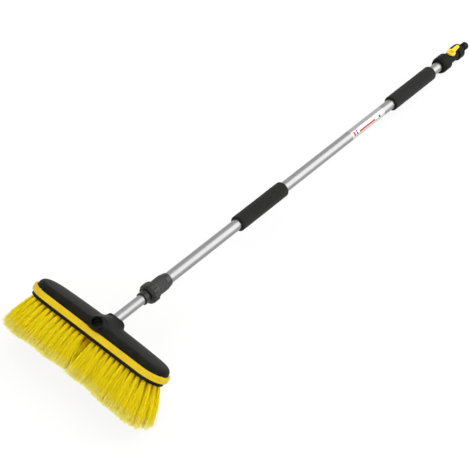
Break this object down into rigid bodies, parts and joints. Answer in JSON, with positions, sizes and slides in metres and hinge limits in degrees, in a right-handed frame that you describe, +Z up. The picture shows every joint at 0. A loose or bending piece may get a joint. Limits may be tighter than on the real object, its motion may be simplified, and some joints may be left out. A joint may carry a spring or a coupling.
{
  "type": "car wash brush",
  "caption": "Water-fed wash brush on a telescopic pole: wide bristle head with twin sockets, twist lock, foam grips, ball valve and hose nipple.",
  "frame": {"origin": "on the floor, under the middle of the lying brush's bounding box", "axes": "+X along the brush head, +Y from the head to the hose end, +Z up from the floor"},
  "size_m": [0.3255, 1.3526, 0.1412],
  "materials": {
    "black_moulding": "satin moulded",
    "yellow_moulding": "smooth moulded",
    "nipple_plastic": "satin moulded",
    "yellow_rubber": "satin",
    "yellow_filament": "fine filament",
    "pole_aluminium": "satin anodised",
    "black_foam": "matte foam",
    "label_plastic": "gloss film",
    "white_acetal": "smooth",
    "black_seal": "matte",
    "plated_metal": "polished",
    "screw_steel": "zinc plated"
  },
  "bodies": {
    "outer_pole": {"outer_tube": "pole_aluminium", "clamp_sleeve": "black_moulding", "collet": "white_acetal", "front_grip": "black_foam", "rear_grip": "black_foam", "label_film": "label_plastic", "end_cap": "black_moulding", "valve_body": "black_moulding", "valve_seats": "white_acetal", "stem_ring": "black_seal", "union_collar": "black_moulding", "hose_nipple": "nipple_plastic", "nipple_ring": "black_seal"},
    "slider": {"slider_bush": "white_acetal", "slider_rings": "black_seal"},
    "brush_head": {"inner_tube": "pole_aluminium", "tube_adapter": "black_moulding", "socket_washer": "black_seal", "spare_socket_seal": "black_seal", "head_cover": "black_moulding", "chamber_seal": "black_seal", "bumper_strip": "yellow_rubber", "bristle_plate": "black_moulding", "plate_screws": "screw_steel", "bristle_ring_outer": "yellow_filament", "bristle_ring_middle": "yellow_filament", "bristle_row_centre": "yellow_filament"},
    "clamp_slide": {"nose_ring": "black_moulding", "thrust_ring": "black_moulding"},
    "clamp_nut": {"clamp_nut": "black_moulding"},
    "valve_spindle": {"valve_ball": "plated_metal", "valve_stem": "plated_metal", "valve_lever": "yellow_moulding", "lever_screw": "screw_steel"}
  },
  "joints": [
    {"name": "pole_extend", "type": "slide", "parent": "outer_pole", "child": "slider", "axis": [0, -0.9984, 0.057], "range_m": [-0.072, 0.75]},
    {"name": "pole_turn", "type": "hinge", "parent": "slider", "child": "brush_head", "pos_m": [-0.0045, -0.5731, 0.0846], "axis": [0, 0.9984, -0.057], "continuous": true},
    {"name": "nut_travel", "type": "slide", "parent": "outer_pole", "child": "clamp_slide", "axis": [0, -0.9984, 0.057], "range_m": [0, 0.00147]},
    {"name": "nut_turn", "type": "hinge", "parent": "clamp_slide", "child": "clamp_nut", "pos_m": [-0.0045, -0.44231, 0.07713], "axis": [0, 0.9984, -0.057], "range_deg": [0, 180]},
    {"name": "valve_turn", "type": "hinge", "parent": "outer_pole", "child": "valve_spindle", "pos_m": [-0.0045, 0.60349, 0.01745], "axis": [0, 0.057, 0.9984], "range_deg": [0, 90]}
  ],
  "couplings": [
    {"joint": "nut_turn", "follows": "nut_travel", "rad_per_m": 2127.7}
  ]
}
